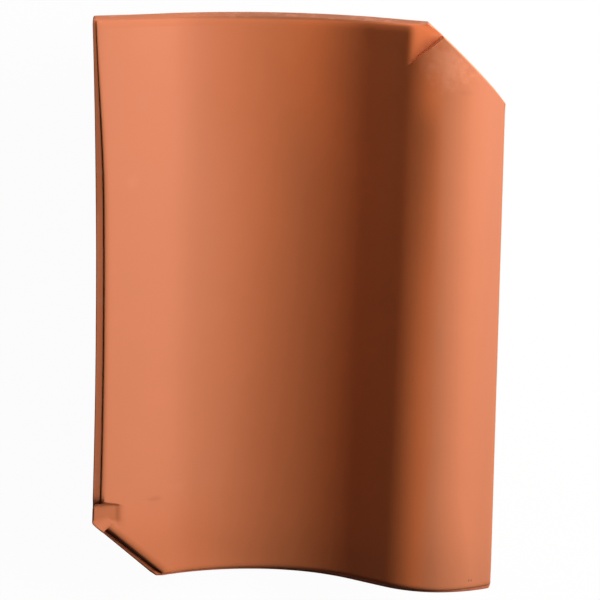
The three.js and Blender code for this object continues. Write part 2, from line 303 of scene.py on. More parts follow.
NIB_FRONT_Y = HEAD_Y - NIB_SETBACK
NIB_BACK_Y = NIB_FRONT_Y + NIB_THICKNESS
NIB_BOTTOM_Z = -THICKNESS - NIB_DEPTH
NIB_ROOT_LEFT = underside_of_pan(-NIB_WIDTH / 2 - NIB_ROOT_FILLET, NIB_FRONT_Y)[1]
NIB_ROOT_RIGHT = underside_of_pan(NIB_WIDTH / 2 + NIB_ROOT_FILLET, NIB_FRONT_Y)[1]


def head_mitre_x(y, inset):
    """Where the bowed line of the head mitre, drawn in by an inset, crosses a place along the tile."""
    up_mitre = (y - HEAD_Y + HEAD_MITRE_ALONG) / HEAD_MITRE_ALONG
    drawn_in = inset * math.hypot(HEAD_MITRE_ACROSS, HEAD_MITRE_ALONG) / HEAD_MITRE_ALONG
    return RIGHT_X - HEAD_MITRE_ACROSS * up_mitre + 4 * HEAD_MITRE_BOW * up_mitre * (1 - up_mitre) - drawn_in


def pan_trim(up):
    """How far in from the flat bat's edge the upright trim of the pan side is at a depth."""
    return max(0, across_at(LEFT_X + PAN_SIDE_WEAR, HEAD_Y, up) - FLAT_LEFT)


class Outline:
    """A line round the flat bat, drawn in and down by its own amounts on each side.

    The head mitre is cut straight down through the bent tile, so its line on the flat bat
    differs with the depth.
    """

    def __init__(self, insets, ups):
        self.insets = insets
        self.ups = ups
        left, right = FLAT_LEFT + insets[PAN_EDGE] + pan_trim(ups[PAN_EDGE]), FLAT_RIGHT - insets[ROLL_EDGE]
        foot, head = FOOT_Y + insets[FOOT], HEAD_Y - insets[HEAD]
        foot_reach = math.hypot(FOOT_MITRE_ACROSS, FOOT_MITRE_ALONG)
        scale = 1 + insets[FOOT_MITRE] * foot_reach / (FOOT_MITRE_ACROSS * FOOT_MITRE_ALONG)
        self.corners = (
            Vector((FLAT_LEFT + FOOT_MITRE_ACROSS * (scale - insets[FOOT] / FOOT_MITRE_ALONG), foot)),
            Vector((right, foot)),
            Vector((right, self.mitre_end_on_roll(right, (ups[ROLL_EDGE] + ups[HEAD_MITRE]) / 2))),
            Vector((self.mitre_across(head, (ups[HEAD_MITRE] + ups[HEAD]) / 2), head)),
            Vector((left, head)),
            Vector((left, FOOT_Y + FOOT_MITRE_ALONG * (scale - (left - FLAT_LEFT) / FOOT_MITRE_ACROSS))),
        )

    def mitre_across(self, y, up):
        """How far across the flat bat the head mitre is."""
        return across_at(head_mitre_x(y, self.insets[HEAD_MITRE]), y, up)

    def mitre_end_on_roll(self, right, up):
        """Where the head mitre meets the roll side's edge, halving the stretch that holds it."""
        low, high = HEAD_Y - HEAD_MITRE_ALONG - 2 * THICKNESS, HEAD_Y
        for _ in range(40):
            middle = (low + high) / 2
            if self.mitre_across(middle, up) > right:
                low = middle
            else:
                high = middle
        return middle

    def point(self, side, share):
        """A point on a side, a share of the way from its first corner to its second."""
        start, end = self.corners[side], self.corners[(side + 1) % len(self.corners)]
        reach = (end - start).length
        near_start = 1 - smoothstep(share * reach, 0, CORNER_BLEND)
        near_end = 1 - smoothstep((1 - share) * reach, 0, CORNER_BLEND)
        before, up, after = self.ups[side - 1], self.ups[side], self.ups[(side + 1) % len(self.ups)]
        up += (before - up) * near_start / 2 + (after - up) * near_end / 2
        point = start.lerp(end, share).to_3d()
        if side == HEAD_MITRE:
            point.x = self.mitre_across(point.y, up)
        point.z = up
        return point


def ruled(*spans):
    """Lines along an axis: each span runs from one stop to the next in cells of about a size.

    The number of cells of a span is set by its nominal length, so that it is the same on
    the upper and on the lower face, whose stops differ a little.
    """
    lines = [spans[0][0]]
    for start, end, nominal, cell in spans:
        count = max(1, round(nominal / cell))
        lines += [start + (end - start) * i / count for i in range(1, count + 1)]
    return lines


def face_lines(outline):
    """Lines across and along the face: they keep to the nib, the mitres' corners and the edges."""
    corners = outline.corners
    left, right = corners[5].x, corners[1].x
    foot, head = corners[0].y, corners[3].y
    foot_corner, head_corner = corners[5].y, corners[2].y
    nib_back_root = (NIB_BACK_Y + head) / 2
    edge = 4 * EDGE_CELL
    across = ruled(
        (left, left + 0.022, 0.022, SEAT_CELL),
        (left + 0.022, SQUEEZE_LEFT, 0.048, OPEN_CELL),
        (SQUEEZE_LEFT, NIB_ROOT_LEFT, 0.023, OPEN_CELL),
        (NIB_ROOT_LEFT, NIB_ROOT_RIGHT, 0.051, OPEN_CELL / 1.5),
        (NIB_ROOT_RIGHT, SQUEEZE_RIGHT, 0.002, OPEN_CELL),
        (SQUEEZE_RIGHT, 0.088, 0.042, OPEN_CELL),
        (0.088, right - edge, 0.060, SEAT_CELL * 1.5),
        (right - edge, right, edge, EDGE_CELL),
    )
    along = ruled(
        (foot, foot + edge, edge, EDGE_CELL),
        (foot + edge, foot_corner - 0.004, 0.026, 0.0016),
        (foot_corner - 0.004, foot_corner, 0.004, SEAT_CELL),
        (foot_corner, FOOT_SEAT_WALL_Y, 0.009, 0.0005),
        (FOOT_SEAT_WALL_Y, FOOT_SEAT_WALL_Y + 0.004, 0.004, 0.0003),
        (FOOT_SEAT_WALL_Y + 0.004, head_corner - edge, 0.235, 0.0030),
        (head_corner - edge, head_corner, edge, EDGE_CELL),
        (head_corner, head_corner + edge, edge, EDGE_CELL),
        (head_corner + edge, 0.140, 0.014, 0.0016),
        (0.140, NIB_FRONT_Y - NIB_ROOT_FILLET, 0.004, SEAT_CELL),
        (NIB_FRONT_Y - NIB_ROOT_FILLET, nib_back_root, 0.022, SEAT_CELL),
        (nib_back_root, head, 0.0016, SEAT_CELL),
    )
    return across, along


def face_grid(outline):
    """Rows of points over the face, foot to head. The mitres squeeze the lines beside them."""
    corners = outline.corners
    lines, rows = face_lines(outline)
    left, right = lines[0], lines[-1]
    grid = []
    for y in rows:
        start, end = left, right
        if y < corners[5].y:
            start = outline.point(FOOT_MITRE, (corners[5].y - y) / (corners[5].y - corners[0].y)).x
        if y > corners[2].y:
            end = outline.mitre_across(y, outline.ups[HEAD_MITRE])
        left_squeeze = (SQUEEZE_LEFT - start) / (SQUEEZE_LEFT - left)
        right_squeeze = (end - SQUEEZE_RIGHT) / (right - SQUEEZE_RIGHT)
        row = []
        for x in lines:
            if x < SQUEEZE_LEFT:
                x = SQUEEZE_LEFT + (x - SQUEEZE_LEFT) * left_squeeze
            elif x > SQUEEZE_RIGHT:
                x = SQUEEZE_RIGHT + (x - SQUEEZE_RIGHT) * right_squeeze
            row.append(Vector((x, y)))
        grid.append(row)
    return grid


def rim_of(rows, columns):
    """Row and column of each point round a block of the grid, anticlockwise from its low corner."""
    (r0, r1), (c0, c1) = rows, columns
    return (
        [(r0, c) for c in range(c0, c1)]
        + [(r, c1) for r in range(r0, r1)]
        + [(r1, c) for c in range(c1, c0, -1)]
        + [(r, c0) for r in range(r1, r0, -1)]
    )


def places_on_outline(points, outline):
    """For each point of the rim, the side of the outline that it is on and how far along."""
    places = []
    side = FOOT
    for point in points:
        while True:
            start, end = outline.corners[side], outline.corners[(side + 1) % len(outline.corners)]
            reach = end - start
            share = (point - start).dot(reach) / reach.length_squared
            if side == HEAD_MITRE:
                share = (point.y - start.y) / reach.y
            off_line = (point - outline.point(side, share).to_2d()).length
            if share < 1 - 1e-6 and off_line < 1e-6 or side == FOOT_MITRE:
                break
            side += 1
        places.append((side, share))
    return places


def eased(point, corners, radius):
    """Draws a point of the outline in to the round of the nearest corner, if it is beyond it."""
    for i, corner in enumerate(corners):
        before = (corners[i - 1] - corner).normalized()
        after = (corners[(i + 1) % len(corners)] - corner).normalized()
        half = math.acos(max(-1, min(1, before.dot(after)))) / 2
        if (point - corner).length > radius / math.tan(half):
            continue
        centre = corner + (before + after).normalized() * radius / math.sin(half)
        return centre + (point - centre).normalized() * radius
    return point


def arc(start, end, steps):
    """Angles from just after one to another, in equal steps."""
    return [start + (end - start) * i / steps for i in range(1, steps + 1)]


SHOULDER_RINGS = 8
LEDGE_RINGS = (0, 0.04, 0.5, 1)
ARRIS_RINGS = 4
WALL_RINGS = 4

# The mark "rim" grows down the edge; these are its values on the underside and on the nib.
UNDERSIDE_RIM = 6.0
NIB_RIM = 0.5


def edge_section(edge):
    """(inset, up) down an edge's section, from the rim of the upper face to that of the lower one."""
    section = [(edge.ledge + edge.shoulder, 0)]
    for turn in arc(0, math.pi / 2, SHOULDER_RINGS):
        section.append((edge.ledge + edge.shoulder * (1 - math.sin(turn)), -edge.drop * (1 - math.cos(turn))))
    for out in LEDGE_RINGS:
        depth = edge.inner_depth + (edge.outer_depth - edge.inner_depth) * out
        section.append((edge.ledge + (edge.arris - edge.ledge) * out, -depth))
    for turn in arc(0, math.pi / 2, ARRIS_RINGS):
        depth = edge.outer_depth + LOWER_ARRIS * (1 - math.cos(turn))
        section.append((edge.arris * (1 - math.sin(turn)), -depth))
    top, bottom = section[-1][1], -THICKNESS + LOWER_ARRIS
    for i in range(1, WALL_RINGS + 1):
        section.append((0, top + (bottom - top) * i / WALL_RINGS))
    for turn in arc(0, math.pi / 2, ARRIS_RINGS):
        section.append((LOWER_ARRIS * (1 - math.cos(turn)), bottom - LOWER_ARRIS * math.sin(turn)))
    return section


def edge_outlines(edges):
    """Outlines round the edge, from the rim of the upper face to the rim of the lower one."""
    rings = zip(*[edge_section(edge) for edge in edges])
    return [Outline([inset for inset, _ in ring], [up for _, up in ring]) for ring in rings]


class PlainCorner:
    """The stretch round the corner below the foot seat where the edge has no ledge.

    It keeps the height of the face, so it stands proud of the seat and of the mitre's ledge.
    """

    def __init__(self, outlines):
        corners = outlines[0].corners
        self.wall_share = (corners[4].y - FOOT_SEAT_WALL_Y - 0.0015) / (corners[4].y - corners[5].y)
        self.mitre_share = PLAIN_MITRE_LENGTH / (corners[0] - corners[5]).length
        edges = list(EDGES)
        edges[PAN_EDGE] = edges[FOOT_MITRE] = PLAIN_EDGE
        self.outlines = edge_outlines(edges)

    def holds(self, side, share):
        on_pan_edge = side == PAN_EDGE and share > self.wall_share - 1e-6
        return on_pan_edge or side == FOOT_MITRE and share < self.mitre_share

    def point(self, ring, outline, side, share):
        """The place of a rim point on the plain edge: the stretch's ends face those of the stepped edge."""
        plain = self.outlines[ring]
        corner = plain.point(FOOT_MITRE, 0)
        if side == PAN_EDGE:
            start = outline.point(PAN_EDGE, self.wall_share)
            start.x = plain.corners[5].x
            along = (share - self.wall_share) / (1 - self.wall_share)
        else:
            start = outline.point(FOOT_MITRE, self.mitre_share)
            out = plain.insets[FOOT_MITRE] - outline.insets[FOOT_MITRE]
            start += Vector((FOOT_MITRE_ALONG, FOOT_MITRE_ACROSS, 0)).normalized() * out
            along = 1 - share / self.mitre_share
        start.z = plain.ups[side]
        return start.lerp(corner, along)


class ClayMesh:
    """Points and faces of the tile, with the marks that the seats and the finish read."""

    def __init__(self):
        self.points = []
        self.face_heights = []
        self.gives = []
        self.rims = []
        self.nibs = []
        self.faces = []
        self.skins = []

    def add(self, point, rim=0.0, nib=0.0):
        """Adds a point: of the nib where it stands, of the bat where the bending takes it.

        Under a seat's tool it gives way as the upper face straight above it does, and the
        less, the deeper in the clay it is.
        """
        x, y, z = tuple(point) if nib else bent(*point)
        self.points.append((x, y, z))
        self.face_heights.append(z if nib or point[2] == 0 else bend(across_at(x, y, 0), 0)[1])
        self.gives.append(0.0 if nib else 1 + point[2] / THICKNESS)
        self.rims.append(rim)
        self.nibs.append(nib)
        return len(self.points) - 1

    def face(self, ids, skin):
        self.faces.append(ids)
        self.skins.append(skin)

    def patch(self, ids, skin, flip=False, hole=None):
        """Quads over a grid of point numbers, with the cells of a block left out."""
        for r in range(len(ids) - 1):
            for c in range(len(ids[0]) - 1):
                if hole and hole[0][0] <= r < hole[0][1] and hole[1][0] <= c < hole[1][1]:
                    continue
                quad = (ids[r][c], ids[r][c + 1], ids[r + 1][c + 1], ids[r + 1][c])
                self.face(quad[::-1] if flip else quad, skin)

    def band(self, upper, lower, skin):
        """Quads between two rings of point numbers, the upper one first."""
        count = len(upper)
        for i in range(count):
            k = (i + 1) % count
            self.face((upper[i], lower[i], lower[k], upper[k]), skin)


UPPER_SKIN, EDGE_SKIN, LOWER_SKIN = 0, 1, 2


def add_body(clay):
    """Upper face, stepped edge and lower face. Returns the lower face's outline and points."""
    outlines = edge_outlines(EDGES)
    upper, lower = face_grid(outlines[0]), face_grid(outlines[-1])
    rows, columns = len(upper) - 1, len(upper[0]) - 1
    rim = rim_of((0, rows), (0, columns))
    places = places_on_outline([upper[r][c] for r, c in rim], outlines[0])
    plain = PlainCorner(outlines)
    for (r, c), (side, share) in zip(rim, places):
        if plain.holds(side, share):
            upper[r][c] = plain.point(0, outlines[0], side, share).to_2d()
    upper_ids = [[clay.add((p.x, p.y, 0)) for p in row] for row in upper]
    clay.patch(upper_ids, UPPER_SKIN)

    ring = [upper_ids[r][c] for r, c in rim]
    for number, outline in enumerate(outlines[1:-1], 1):
        down_edge = number / SHOULDER_RINGS
        radius = CORNER_ROUND * min(1, down_edge)
        if number < SHOULDER_RINGS:
            down_edge **= 2
        else:
            down_edge = 1 + (number - SHOULDER_RINGS) / len(LEDGE_RINGS)
        next_ring = []
        for side, share in places:
            if plain.holds(side, share):
                point, corners = plain.point(number, outline, side, share), plain.outlines[number].corners
            else:
                point, corners = outline.point(side, share), outline.corners
            flat = eased(point.to_2d(), corners, radius)
            next_ring.append(clay.add((flat.x, flat.y, point.z), rim=down_edge))
        clay.band(ring, next_ring, EDGE_SKIN)
        ring = next_ring

    lower_ids = [[clay.add((p.x, p.y, -THICKNESS), rim=UNDERSIDE_RIM) for p in row] for row in lower]
    clay.band(ring, [lower_ids[r][c] for r, c in rim], EDGE_SKIN)
    return outlines[-1], lower_ids


def add_nib(clay, lower_rim, lower_ids):
    """The nib: a filleted root, drafted back, rounded edges and a flat underside."""
    lines, rows = face_lines(lower_rim)
    r0 = min(range(len(rows)), key=lambda i: abs(rows[i] - (NIB_FRONT_Y - NIB_ROOT_FILLET)))
    r1 = min(range(len(rows)), key=lambda i: abs(rows[i] - (NIB_BACK_Y + rows[-1]) / 2))
    c0 = min(range(len(lines)), key=lambda i: abs(lines[i] - NIB_ROOT_LEFT))
    c1 = min(range(len(lines)), key=lambda i: abs(lines[i] - NIB_ROOT_RIGHT))
    clay.patch(lower_ids, LOWER_SKIN, flip=True, hole=((r0, r1), (c0, c1)))

    root = rim_of((r0, r1), (c0, c1))
    root_x = [bend(lines[c], -THICKNESS)[0] + taper_shift(lines[c], rows[r0]) for c in (c0, c1)]
    root_y = (rows[r0], rows[r1])

    def shares(r, c):
        """How far over the root's rectangle a grid point is, 0 to 1 both ways."""
        x = bend(lines[c], -THICKNESS)[0] + taper_shift(lines[c], rows[r0])
        return (x - root_x[0]) / (root_x[1] - root_x[0]), (rows[r] - root_y[0]) / (root_y[1] - root_y[0])

    def back_at(z):
        """The back's draft: it leans forward towards the nib's bottom."""
        fall = max(0, -THICKNESS - z) / NIB_DEPTH
        return NIB_BACK_Y - NIB_DRAFT * fall

    def ring_point(r, c, spread, inset, z):
        """A point round the nib, spread from the wall towards the root, or drawn in from the wall."""
        across, along = shares(r, c)
        wall_x = (-NIB_WIDTH / 2 + inset, NIB_WIDTH / 2 - inset)
        wall_y = (NIB_FRONT_Y + inset, back_at(z) - inset)
        low = Vector((
            wall_x[0] + (root_x[0] - wall_x[0]) * spread,
            wall_y[0] + (root_y[0] - wall_y[0]) * spread,
        ))
        high = Vector((
            wall_x[1] + (root_x[1] - wall_x[1]) * spread,
            wall_y[1] + (root_y[1] - wall_y[1]) * spread,
        ))
        point = Vector((low.x + (high.x - low.x) * across, low.y + (high.y - low.y) * along))
        corners = (low, Vector((high.x, low.y)), high, Vector((low.x, high.y)))
        return eased(point, corners, NIB_CORNER_ROUND * (1 - spread))

    ring = [lower_ids[r][c] for r, c in root]
    stages = []
    for turn in arc(0, math.pi / 2, 5):
        stages.append((1 - math.sin(turn), 0, NIB_ROOT_FILLET * (1 - math.cos(turn)), None))
    straight_bottom = NIB_BOTTOM_Z + NIB_EDGE_ROUND
    for part in (0.34, 0.67, 1.0):
        stages.append((0, 0, NIB_ROOT_FILLET, part))
    for turn in arc(0, math.pi / 2, 4):
        inset = NIB_EDGE_ROUND * (1 - math.cos(turn))
        stages.append((0, inset, NIB_EDGE_ROUND * math.sin(turn), "bottom"))

    for spread, inset, drop, part in stages:
        next_ring = []
        for r, c in root:
            point = ring_point(r, c, spread, inset, straight_bottom)
            start = underside_of_pan(point.x, point.y)[0] - drop
            if part is None:
                z = start
            elif part == "bottom":
                z = straight_bottom - drop
            else:
                z = start + (straight_bottom - start) * part
            point = ring_point(r, c, spread, inset, z)
            next_ring.append(clay.add((point.x, point.y, z), rim=NIB_RIM, nib=1.0))
        clay.band(ring, next_ring, LOWER_SKIN)
        ring = next_ring

    ids = [[None] * (c1 - c0 + 1) for _ in range(r1 - r0 + 1)]
    for number, (r, c) in zip(ring, root):
        ids[r - r0][c - c0] = number
    for r in range(r0 + 1, r1):
        for c in range(c0 + 1, c1):
            point = ring_point(r, c, 0, NIB_EDGE_ROUND, NIB_BOTTOM_Z)
            ids[r - r0][c - c0] = clay.add((point.x, point.y, NIB_BOTTOM_Z), nib=1.0)
    clay.patch(ids, LOWER_SKIN, flip=True)


def score_along_wall(mesh, corner, toward, offsets):
    """Cuts lines into the upper face along the foot of a seat's wall, so that it can crease there."""
    work = bmesh.new()
    work.from_mesh(mesh)
    skin = work.faces.layers.int["skin"]
    for offset in offsets:
        faces = [
            face for face in work.faces
            if face[skin] != LOWER_SKIN and (face.calc_center_bounds() - corner).length < SCORE_REACH
        ]
        edges = {edge for face in faces for edge in face.edges}
        points = {point for face in faces for point in face.verts}
        place = corner + toward * offset
        cut = [*faces, *edges, *points]
        bmesh.ops.bisect_plane(work, geom=cut, dist=1e-6, plane_co=place, plane_no=toward)
    unused = [point for point in work.verts if not point.link_faces]
    bmesh.ops.delete(work, geom=unused, context="VERTS")
    work.to_mesh(mesh)
    work.free()


def bent_bat():
    """The bent bat with its nib, as an object whose seats are still to be pressed."""
    clay = ClayMesh()
    lower_rim, lower_ids = add_body(clay)
    add_nib(clay, lower_rim, lower_ids)
    mesh = bpy.data.meshes.new("bent_bat")
    mesh.from_pydata(clay.points, [], clay.faces)
    for name, kind, domain, values in (
        ("rim", "FLOAT", "POINT", clay.rims),
        ("nib", "FLOAT", "POINT", clay.nibs),
        ("gives", "FLOAT", "POINT", clay.gives),
        ("face_height", "FLOAT", "POINT", clay.face_heights),
        ("skin", "INT", "FACE", clay.skins),
    ):
        mesh.attributes.new(name, kind, domain).data.foreach_set("value", values)
    mesh.polygons.foreach_set("use_smooth", [True] * len(mesh.polygons))
    score_along_wall(mesh, HEAD_SEAT_CORNER, HEAD_SEAT_TOWARD, SCORE_OFFSETS)
    bat = bpy.data.objects.new("bent_bat", mesh)
    bpy.context.scene.collection.objects.link(bat)
    return bat


# ---------------------------------------------------------------- node trees

class Nodes:
    """Short ways to add nodes to a tree and to join them."""

    def __init__(self, tree):
        self.tree = tree

    def add(self, node_kind, inputs=None, **settings):
        node = self.tree.nodes.new(node_kind)
        for name, value in settings.items():
            setattr(node, name, value)
        for name, value in (inputs or {}).items():
            self.feed(node.inputs[name], value)
        return node

    def feed(self, socket, value):
        if isinstance(value, bpy.types.NodeSocket):
            self.tree.links.new(value, socket)
        else:
            socket.default_value = value

    def math(self, operation, *values, clamp=False):
        node = self.add("ShaderNodeMath", operation=operation, use_clamp=clamp)
        for socket, value in zip(node.inputs, values):
            self.feed(socket, value)
        return node.outputs[0]

    def product(self, first, *others):
        for other in others:
            first = self.math("MULTIPLY", first, other)
        return first

    def rest_of(self, share):
        """What a share leaves of one."""
        return self.math("SUBTRACT", 1.0, share)

    def vector(self, operation, *values):
        node = self.add("ShaderNodeVectorMath", operation=operation)
        for socket, value in zip(node.inputs, values):
            self.feed(socket, value)
        return node.outputs["Value" if operation in ("DOT_PRODUCT", "LENGTH", "DISTANCE") else "Vector"]

    def smooth_range(self, value, low, high):
        """0 to 1 between two limits, with an easy start and end."""
        node = self.add("ShaderNodeMapRange", interpolation_type="SMOOTHSTEP")
        for name, given in (("Value", value), ("From Min", low), ("From Max", high)):
            self.feed(node.inputs[name], given)
        return node.outputs["Result"]

    def band(self, value, rise, fall):
        """1 in a stretch, with an easy rise before it and an easy fall after it."""
        return self.product(self.smooth_range(value, *rise), self.smooth_range(value, *fall))

    def mark(self, name, kind="FLOAT"):
        """One of the mesh's marks, in a Geometry Nodes tree."""
        node = self.add("GeometryNodeInputNamedAttribute", {"Name": name}, data_type=kind)
        return node.outputs["Attribute"]

    def noise(self, place, scale, detail):
        return self.add("ShaderNodeTexNoise", {"Vector": place, "Scale": scale, "Detail": detail}).outputs[0]

    def blend(self, share, first, second):
        """A colour part of the way from the first to the second."""
        node = self.add("ShaderNodeMix", data_type="RGBA")
        for label, value in (("Factor_Float", share), ("A_Color", first), ("B_Color", second)):
            socket = next(item for item in node.inputs if item.identifier == label)
            self.feed(socket, value)
        return next(item for item in node.outputs if item.identifier == "Result_Color")

    def scaled(self, value, factor):
        node = self.add("ShaderNodeVectorMath", operation="SCALE")
        self.feed(node.inputs[0], value)
        self.feed(node.inputs["Scale"], factor)
        return node.outputs["Vector"]

    def place(self):
        """The place on the tile, in metres."""
        return self.add("ShaderNodeTexCoord").outputs["Object"]

    def group(self, tree, inputs):
        return self.add("ShaderNodeGroup", inputs, node_tree=tree).outputs

    def split(self, value):
        return self.add("ShaderNodeSeparateXYZ", {"Vector": value}).outputs

    def join(self, x, y, z):
        return self.add("ShaderNodeCombineXYZ", {"X": x, "Y": y, "Z": z}).outputs[0]


def new_group(kind, name, inputs, outputs):
    """An empty node group with named sockets: its nodes, its inputs and its output node."""
    tree = bpy.data.node_groups.new(name, kind)
    for label, (socket_type, default) in inputs.items():
        socket = tree.interface.new_socket(label, in_out="INPUT", socket_type=socket_type)
        if default is not None:
            socket.default_value = default
    for label, socket_type in outputs.items():
        tree.interface.new_socket(label, in_out="OUTPUT", socket_type=socket_type)
    nodes = Nodes(tree)
    group_in = nodes.add("NodeGroupInput")
    group_out = nodes.add("NodeGroupOutput")
    return tree, nodes, group_in.outputs, group_out.inputs


GEOMETRY = "NodeSocketGeometry"
FLOAT = "NodeSocketFloat"
VECTOR = "NodeSocketVector"
COLOR = "NodeSocketColor"


def pressed_seat_group():
    """Height of a surface once a seat is pressed into it: its floor, steep wall and sloping ramp."""
    tree, n, given, result = new_group(
        "GeometryNodeTree", "pressed_seat",
        {
            "Position": (VECTOR, None),
            "Corner": (VECTOR, None),
            "Toward": (VECTOR, None),
            "Wall Rise": (FLOAT, 0.0),
            "Floor Length": (FLOAT, 0.0),
            "Floor Slope": (FLOAT, 0.0),
            "Floor Sink": (FLOAT, 0.0),
            "Side Rise": (FLOAT, 0.0),
            "Ramp Length": (FLOAT, 0.0),
            "Groove Depth": (FLOAT, 0.0),
            "Half Width": (FLOAT, 0.0),
            "Crease Round": (FLOAT, 0.0),
            "Arris Round": (FLOAT, 0.0),
            "Side Round": (FLOAT, 0.0),
        },
        {"Height": FLOAT},
    )
    offset = n.vector("SUBTRACT", given["Position"], given["Corner"])
    flat_offset = n.vector("MULTIPLY", offset, (1.0, 1.0, 0.0))
    out = n.vector("DOT_PRODUCT", flat_offset, given["Toward"])
    aside = n.split(n.vector("CROSS_PRODUCT", given["Toward"], flat_offset))["Z"]
    wall = n.product(out, -1.0, given["Wall Rise"])
    outside = n.math("GREATER_THAN", n.math("ABSOLUTE", aside), given["Half Width"])
    rise = n.math("ADD", wall, outside)
    start = n.math("SUBTRACT", n.split(given["Corner"])["Z"], given["Floor Sink"])
    floor = n.math("MULTIPLY_ADD", aside, given["Floor Slope"], start)
    floor = n.math("MULTIPLY_ADD", n.math("MAXIMUM", aside, 0.0), given["Side Rise"], floor)
    # The tool's edge has bitten into the clay along the foot of the wall.
    bite = n.math("SUBTRACT", 1.0, n.math("DIVIDE", out, GROOVE_WIDTH), clamp=True)
    floor = n.math("SUBTRACT", floor, n.math("MULTIPLY", bite, given["Groove Depth"]))
    height = n.split(given["Position"])["Z"]
    # The face runs softly down to the floor, but meets the wall at an arris.
    sunk = n.math("SMOOTH_MIN", height, floor, given["Side Round"])
    standing = n.math("SMOOTH_MIN", height, n.math("ADD", floor, rise), given["Arris Round"])
    pressed = n.math("MINIMUM", height, n.math("SMOOTH_MAX", sunk, standing, given["Crease Round"]))
    # Beyond the floor a ramp of one length climbs back to the face.
    ramp_end = n.math("ADD", given["Floor Length"], given["Ramp Length"])
    climbed = n.add("ShaderNodeMapRange", {
        "Value": out, "From Min": given["Floor Length"], "From Max": ramp_end,
    }).outputs["Result"]
    left_below = n.product(n.math("SUBTRACT", pressed, height), n.rest_of(climbed))
    n.feed(result["Height"], n.math("ADD", height, left_below))
    return tree


def pressed_tile_tree():
    """Presses the seats into the bent bat and gives the skin its slight unevenness."""
    tree, n, given, result = new_group(
        "GeometryNodeTree", "press_seats",
        {
            "Geometry": (GEOMETRY, None),
            "Head Seat Corner": (VECTOR, None),
            "Head Seat Toward": (VECTOR, None),
            "Head Seat Wall": (FLOAT, 0.0),
            "Head Seat Groove": (FLOAT, 0.0),
            "Head Seat Side Round": (FLOAT, 0.0),
            "Foot Seat Corner": (VECTOR, None),
            "Foot Seat Length": (FLOAT, 0.0),
            "Foot Seat Slope": (FLOAT, 0.0),
            "Foot Seat Sink": (FLOAT, 0.0),
            "Foot Seat Ramp": (FLOAT, 0.0),
            "Foot Seat Wall": (FLOAT, 0.0),
            "Foot Seat Side Round": (FLOAT, 0.0),
            "Unevenness": (FLOAT, 0.0),
            "Seed": (FLOAT, 0.0),
            "Face Clay": ("NodeSocketMaterial", None),
            "Edge Clay": ("NodeSocketMaterial", None),
            "Back Clay": ("NodeSocketMaterial", None),
        },
        {"Geometry": GEOMETRY},
    )
    top = n.mark("face_height")
    spot = n.split(n.add("GeometryNodeInputPosition").outputs[0])
    above = n.join(spot["X"], spot["Y"], top)
    on_bat = n.math("LESS_THAN", n.mark("nib"), 0.5)
    seats = pressed_seat_group()
    head_seat = n.add("GeometryNodeGroup", {
        "Position": above, "Corner": given["Head Seat Corner"], "Toward": given["Head Seat Toward"],
        "Wall Rise": given["Head Seat Wall"], "Floor Length": 1.0, "Ramp Length": 1.0, "Half Width": 0.06,
        "Groove Depth": given["Head Seat Groove"],
        "Crease Round": 0.00002, "Arris Round": 0.00005, "Side Round": given["Head Seat Side Round"],
    }, node_tree=seats)
    after_head = n.join(spot["X"], spot["Y"], head_seat.outputs["Height"])
    foot_seat = n.add("GeometryNodeGroup", {
        "Position": after_head, "Corner": given["Foot Seat Corner"], "Toward": (0.0, -1.0, 0.0),
        "Wall Rise": given["Foot Seat Wall"], "Floor Length": given["Foot Seat Length"],
        "Floor Slope": given["Foot Seat Slope"], "Floor Sink": given["Foot Seat Sink"], "Side Rise": 0.25,
        "Ramp Length": given["Foot Seat Ramp"], "Half Width": 0.04,
        "Crease Round": 0.0003, "Arris Round": 0.0006, "Side Round": given["Foot Seat Side Round"],
    }, node_tree=seats)
    fall = n.product(n.math("SUBTRACT", foot_seat.outputs["Height"], top), n.mark("gives"))
    body = n.add("GeometryNodeSetPosition", {
        "Geometry": given["Geometry"], "Offset": n.join(0.0, 0.0, fall),
    }).outputs[0]

    # Slight unevenness of pressed and fired clay, only ever inwards.
    soft = n.add("ShaderNodeTexNoise", {
        "Vector": n.add("GeometryNodeInputPosition").outputs[0],
        "W": given["Seed"], "Scale": 22.0, "Detail": 2.0,
    }, noise_dimensions="4D").outputs[0]
    normal = n.add("GeometryNodeInputNormal").outputs[0]
    body = n.add("GeometryNodeSetPosition", {
        "Geometry": body, "Selection": on_bat,
        "Offset": n.scaled(normal, n.product(soft, -1.0, given["Unevenness"])),
    }).outputs[0]

    body = n.add("GeometryNodeRealizeInstances", {"Geometry": body}).outputs[0]
    skin = n.mark("skin", "INT")
    for number, label in ((UPPER_SKIN, "Face Clay"), (EDGE_SKIN, "Edge Clay"), (LOWER_SKIN, "Back Clay")):
        chosen = n.math("COMPARE", skin, float(number), 0.5)
        body = n.add("GeometryNodeSetMaterial", {
            "Geometry": body, "Selection": chosen, "Material": given[label],
        }).outputs[0]
    n.feed(result["Geometry"], body)
    return tree


def set_inputs(modifier, values):
    """Sets a Geometry Nodes modifier's inputs by their sockets' identifiers."""
    for item in modifier.node_group.interface.items_tree:
        if item.item_type == "SOCKET" and item.in_out == "INPUT" and item.name in values:
            modifier[item.identifier] = values[item.name]


# Edges that turn by more than this are shaded as sharp.
SHARP_TURN = math.radians(50)


